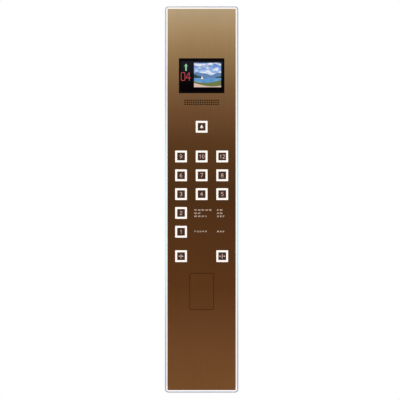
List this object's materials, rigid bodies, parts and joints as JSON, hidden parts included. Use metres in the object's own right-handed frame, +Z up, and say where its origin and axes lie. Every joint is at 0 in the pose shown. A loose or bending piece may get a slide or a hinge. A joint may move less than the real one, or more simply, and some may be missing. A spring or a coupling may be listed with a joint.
{
  "type": "elevator car operating panel",
  "caption": "Tall wall panel for a lift car: lit frame, display, speaker grille, square push keys and a flush service door over a recessed back box.",
  "frame": {"origin": "centre of the wall screw pattern, on the surface of the car wall", "axes": "+Z up, -Y out of the panel's face towards the car, +X to the right as seen from the car"},
  "size_m": [0.25, 0.0626, 1.315],
  "materials": {
    "bronze_sheet": "hairline, bronze coloured",
    "key_bronze": "satin, dark bronze",
    "rim_metal": "satin anodised",
    "opal_guide": "opal white, lit from behind",
    "lamp_strip": "flexible lamp strip",
    "white_plastic": "glossy white",
    "window_acrylic": "tinted, polished",
    "screen_glass": "polished glass cell",
    "sheet_steel": "galvanised sheet",
    "zinc_steel": "zinc plated",
    "chrome_metal": "bright plated",
    "brass_metal": "bare brass",
    "black_metal": "black lacquer",
    "black_plastic": "moulded, fine grain",
    "circuit_board": "solder resist",
    "silicone": "translucent silicone",
    "black_rubber": "matt",
    "black_cloth": "woven",
    "cone_paper": "pressed paper"
  },
  "bodies": {
    "root": {"back_box": "sheet_steel", "wall_flange": "sheet_steel", "cable_trim": "black_rubber", "left_rail": "rim_metal", "right_rail": "rim_metal", "top_rail": "rim_metal", "bottom_rail": "rim_metal", "corner_cleats": "zinc_steel", "light_guides": "opal_guide", "lamp_strips": "lamp_strip", "faceplate": "bronze_sheet", "weld_studs": "zinc_steel", "stud_nuts": "zinc_steel", "hanging_hooks": "zinc_steel", "lock_screws": "zinc_steel", "display_window": "window_acrylic", "lcd_screen": "screen_glass", "lcd_frame": "sheet_steel", "display_board": "circuit_board", "display_clamps": "zinc_steel", "grille_cloth": "black_cloth", "speaker_basket": "black_metal", "speaker_cone": "cone_paper", "microphone": "black_rubber", "button_halos": "white_plastic", "button_bodies": "black_plastic", "button_switches": "black_plastic", "button_boards": "circuit_board", "return_pads": "silicone", "service_box": "sheet_steel", "switch_plate": "sheet_steel", "rocker_frames": "black_plastic", "key_switch_body": "chrome_metal", "hinge_bracket": "zinc_steel", "hinge_pins": "zinc_steel", "latch_body": "black_plastic", "control_board": "circuit_board", "board_standoffs": "brass_metal"},
    "key_alarm": {"key_alarm": "key_bronze"},
    "key_9": {"key_9": "key_bronze"},
    "key_10": {"key_10": "key_bronze"},
    "key_12": {"key_12": "key_bronze"},
    "key_6": {"key_6": "key_bronze"},
    "key_7": {"key_7": "key_bronze"},
    "key_8": {"key_8": "key_bronze"},
    "key_3": {"key_3": "key_bronze"},
    "key_4": {"key_4": "key_bronze"},
    "key_5": {"key_5": "key_bronze"},
    "key_2": {"key_2": "key_bronze"},
    "key_1": {"key_1": "key_bronze"},
    "key_open": {"key_open": "key_bronze"},
    "key_close": {"key_close": "key_bronze"},
    "service_door": {"service_door": "bronze_sheet", "door_pan": "sheet_steel", "hinge_arms": "zinc_steel"},
    "latch_plunger": {"latch_plunger": "chrome_metal"},
    "rocker_left": {"rocker_left": "black_plastic"},
    "rocker_middle": {"rocker_middle": "black_plastic"},
    "rocker_right": {"rocker_right": "black_plastic"},
    "key_barrel": {"key_barrel": "chrome_metal"}
  },
  "joints": [
    {"name": "key_alarm_press", "type": "slide", "parent": "root", "child": "key_alarm", "axis": [0, 1, 0], "range_m": [0, 0.0015], "stiffness_N_per_m": 800, "springref_m": -0.002, "deforming": ["return_pads"]},
    {"name": "key_9_press", "type": "slide", "parent": "root", "child": "key_9", "axis": [0, 1, 0], "range_m": [0, 0.0015], "stiffness_N_per_m": 800, "springref_m": -0.002, "deforming": ["return_pads"]},
    {"name": "key_10_press", "type": "slide", "parent": "root", "child": "key_10", "axis": [0, 1, 0], "range_m": [0, 0.0015], "stiffness_N_per_m": 800, "springref_m": -0.002, "deforming": ["return_pads"]},
    {"name": "key_12_press", "type": "slide", "parent": "root", "child": "key_12", "axis": [0, 1, 0], "range_m": [0, 0.0015], "stiffness_N_per_m": 800, "springref_m": -0.002, "deforming": ["return_pads"]},
    {"name": "key_6_press", "type": "slide", "parent": "root", "child": "key_6", "axis": [0, 1, 0], "range_m": [0, 0.0015], "stiffness_N_per_m": 800, "springref_m": -0.002, "deforming": ["return_pads"]},
    {"name": "key_7_press", "type": "slide", "parent": "root", "child": "key_7", "axis": [0, 1, 0], "range_m": [0, 0.0015], "stiffness_N_per_m": 800, "springref_m": -0.002, "deforming": ["return_pads"]},
    {"name": "key_8_press", "type": "slide", "parent": "root", "child": "key_8", "axis": [0, 1, 0], "range_m": [0, 0.0015], "stiffness_N_per_m": 800, "springref_m": -0.002, "deforming": ["return_pads"]},
    {"name": "key_3_press", "type": "slide", "parent": "root", "child": "key_3", "axis": [0, 1, 0], "range_m": [0, 0.0015], "stiffness_N_per_m": 800, "springref_m": -0.002, "deforming": ["return_pads"]},
    {"name": "key_4_press", "type": "slide", "parent": "root", "child": "key_4", "axis": [0, 1, 0], "range_m": [0, 0.0015], "stiffness_N_per_m": 800, "springref_m": -0.002, "deforming": ["return_pads"]},
    {"name": "key_5_press", "type": "slide", "parent": "root", "child": "key_5", "axis": [0, 1, 0], "range_m": [0, 0.0015], "stiffness_N_per_m": 800, "springref_m": -0.002, "deforming": ["return_pads"]},
    {"name": "key_2_press", "type": "slide", "parent": "root", "child": "key_2", "axis": [0, 1, 0], "range_m": [0, 0.0015], "stiffness_N_per_m": 800, "springref_m": -0.002, "deforming": ["return_pads"]},
    {"name": "key_1_press", "type": "slide", "parent": "root", "child": "key_1", "axis": [0, 1, 0], "range_m": [0, 0.0015], "stiffness_N_per_m": 800, "springref_m": -0.002, "deforming": ["return_pads"]},
    {"name": "key_open_press", "type": "slide", "parent": "root", "child": "key_open", "axis": [0, 1, 0], "range_m": [0, 0.0015], "stiffness_N_per_m": 800, "springref_m": -0.002, "deforming": ["return_pads"]},
    {"name": "key_close_press", "type": "slide", "parent": "root", "child": "key_close", "axis": [0, 1, 0], "range_m": [0, 0.0015], "stiffness_N_per_m": 800, "springref_m": -0.002, "deforming": ["return_pads"]},
    {"name": "service_door_swing", "type": "hinge", "parent": "root", "child": "service_door", "pos_m": [-0.058, -0.007, -0.313], "axis": [0, 0, -1], "range_deg": [0, 95]},
    {"name": "latch_press", "type": "slide", "parent": "root", "child": "latch_plunger", "axis": [0, 1, 0], "range_m": [0, 0.002], "stiffness_N_per_m": 400, "springref_m": -0.002},
    {"name": "rocker_left_tilt", "type": "hinge", "parent": "root", "child": "rocker_left", "pos_m": [-0.024, 0.02, -0.285], "axis": [1, 0, 0], "range_deg": [0, 20]},
    {"name": "rocker_middle_tilt", "type": "hinge", "parent": "root", "child": "rocker_middle", "pos_m": [0, 0.02, -0.285], "axis": [1, 0, 0], "range_deg": [0, 20]},
    {"name": "rocker_right_tilt", "type": "hinge", "parent": "root", "child": "rocker_right", "pos_m": [0.024, 0.02, -0.285], "axis": [1, 0, 0], "range_deg": [0, 20]},
    {"name": "key_barrel_turn", "type": "hinge", "parent": "root", "child": "key_barrel", "pos_m": [0, 0.02, -0.341], "axis": [0, 1, 0], "range_deg": [0, 90]}
  ]
}
